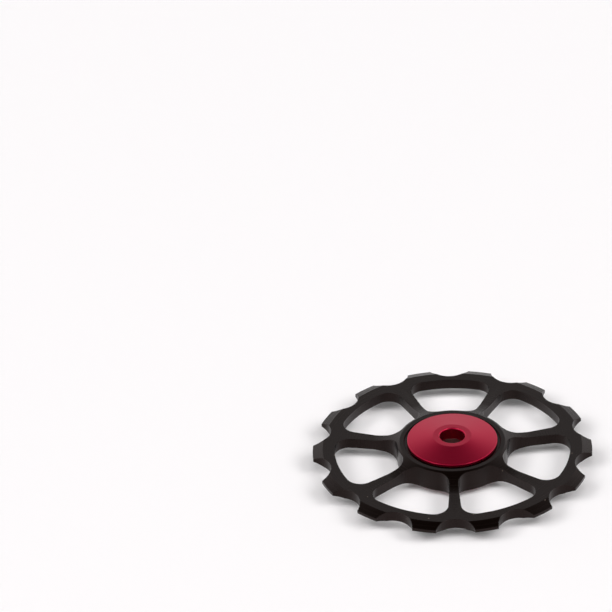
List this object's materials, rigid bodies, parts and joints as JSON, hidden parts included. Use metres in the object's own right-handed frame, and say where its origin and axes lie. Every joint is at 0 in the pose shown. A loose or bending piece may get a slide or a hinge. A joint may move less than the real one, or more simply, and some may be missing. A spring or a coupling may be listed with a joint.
{
  "type": "derailleur jockey wheel",
  "caption": "Spoked derailleur jockey wheel with bevelled teeth, conical end caps and a sealed ceramic ball bearing: it guides a bicycle chain and turns on a bolt.",
  "frame": {"origin": "centre of the bolt bore at the wheel's mid-plane", "axes": "+Z along the bolt bore, out of the upper cap; X and Y in the wheel's plane, with one spoke along -Y"},
  "size_m": [0.0552, 0.0546, 0.0074],
  "materials": {
    "black_anodised": "satin black anodised, milled and turned",
    "red_anodised": "satin red anodised, turned",
    "bush_metal": "plain turned",
    "race_ceramic": "ground",
    "ball_ceramic": "polished",
    "cage_plastic": "moulded",
    "seal_rubber": "moulded"
  },
  "bodies": {
    "axle": {"axle_bush": "bush_metal", "cap_lower": "red_anodised", "cap_upper": "red_anodised", "inner_race": "race_ceramic"},
    "wheel": {"wheel": "black_anodised", "outer_race": "race_ceramic", "seal_upper": "seal_rubber", "seal_lower": "seal_rubber"},
    "cage": {"ball_cage": "cage_plastic"},
    "ball_1": {"ball_1": "ball_ceramic"},
    "ball_2": {"ball_2": "ball_ceramic"},
    "ball_3": {"ball_3": "ball_ceramic"},
    "ball_4": {"ball_4": "ball_ceramic"},
    "ball_5": {"ball_5": "ball_ceramic"},
    "ball_6": {"ball_6": "ball_ceramic"},
    "ball_7": {"ball_7": "ball_ceramic"},
    "ball_8": {"ball_8": "ball_ceramic"},
    "ball_9": {"ball_9": "ball_ceramic"},
    "ball_10": {"ball_10": "ball_ceramic"},
    "ball_11": {"ball_11": "ball_ceramic"}
  },
  "joints": [
    {"name": "wheel_spin", "type": "hinge", "parent": "axle", "child": "wheel", "pos_m": [0, 0, 0], "axis": [0, 0, 1], "continuous": true},
    {"name": "cage_orbit", "type": "hinge", "parent": "axle", "child": "cage", "pos_m": [0, 0, 0], "axis": [0, 0, 1], "continuous": true},
    {"name": "ball_1_roll", "type": "hinge", "parent": "cage", "child": "ball_1", "pos_m": [0, -0.0055, 0], "axis": [0, 0, 1], "continuous": true},
    {"name": "ball_2_roll", "type": "hinge", "parent": "cage", "child": "ball_2", "pos_m": [0.00297, -0.00463, 0], "axis": [0, 0, 1], "continuous": true},
    {"name": "ball_3_roll", "type": "hinge", "parent": "cage", "child": "ball_3", "pos_m": [0.005, -0.00228, 0], "axis": [0, 0, 1], "continuous": true},
    {"name": "ball_4_roll", "type": "hinge", "parent": "cage", "child": "ball_4", "pos_m": [0.00544, 0.00078, 0], "axis": [0, 0, 1], "continuous": true},
    {"name": "ball_5_roll", "type": "hinge", "parent": "cage", "child": "ball_5", "pos_m": [0.00416, 0.0036, 0], "axis": [0, 0, 1], "continuous": true},
    {"name": "ball_6_roll", "type": "hinge", "parent": "cage", "child": "ball_6", "pos_m": [0.00155, 0.00528, 0], "axis": [0, 0, 1], "continuous": true},
    {"name": "ball_7_roll", "type": "hinge", "parent": "cage", "child": "ball_7", "pos_m": [-0.00155, 0.00528, 0], "axis": [0, 0, 1], "continuous": true},
    {"name": "ball_8_roll", "type": "hinge", "parent": "cage", "child": "ball_8", "pos_m": [-0.00416, 0.0036, 0], "axis": [0, 0, 1], "continuous": true},
    {"name": "ball_9_roll", "type": "hinge", "parent": "cage", "child": "ball_9", "pos_m": [-0.00544, 0.00078, 0], "axis": [0, 0, 1], "continuous": true},
    {"name": "ball_10_roll", "type": "hinge", "parent": "cage", "child": "ball_10", "pos_m": [-0.005, -0.00228, 0], "axis": [0, 0, 1], "continuous": true},
    {"name": "ball_11_roll", "type": "hinge", "parent": "cage", "child": "ball_11", "pos_m": [-0.00297, -0.00463, 0], "axis": [0, 0, 1], "continuous": true}
  ],
  "couplings": [
    {"joint": "cage_orbit", "follows": "wheel_spin", "ratio": 0.57218},
    {"joint": "ball_1_roll", "follows": "wheel_spin", "ratio": 3.3913},
    {"joint": "ball_2_roll", "follows": "wheel_spin", "ratio": 3.3913},
    {"joint": "ball_3_roll", "follows": "wheel_spin", "ratio": 3.3913},
    {"joint": "ball_4_roll", "follows": "wheel_spin", "ratio": 3.3913},
    {"joint": "ball_5_roll", "follows": "wheel_spin", "ratio": 3.3913},
    {"joint": "ball_6_roll", "follows": "wheel_spin", "ratio": 3.3913},
    {"joint": "ball_7_roll", "follows": "wheel_spin", "ratio": 3.3913},
    {"joint": "ball_8_roll", "follows": "wheel_spin", "ratio": 3.3913},
    {"joint": "ball_9_roll", "follows": "wheel_spin", "ratio": 3.3913},
    {"joint": "ball_10_roll", "follows": "wheel_spin", "ratio": 3.3913},
    {"joint": "ball_11_roll", "follows": "wheel_spin", "ratio": 3.3913}
  ]
}
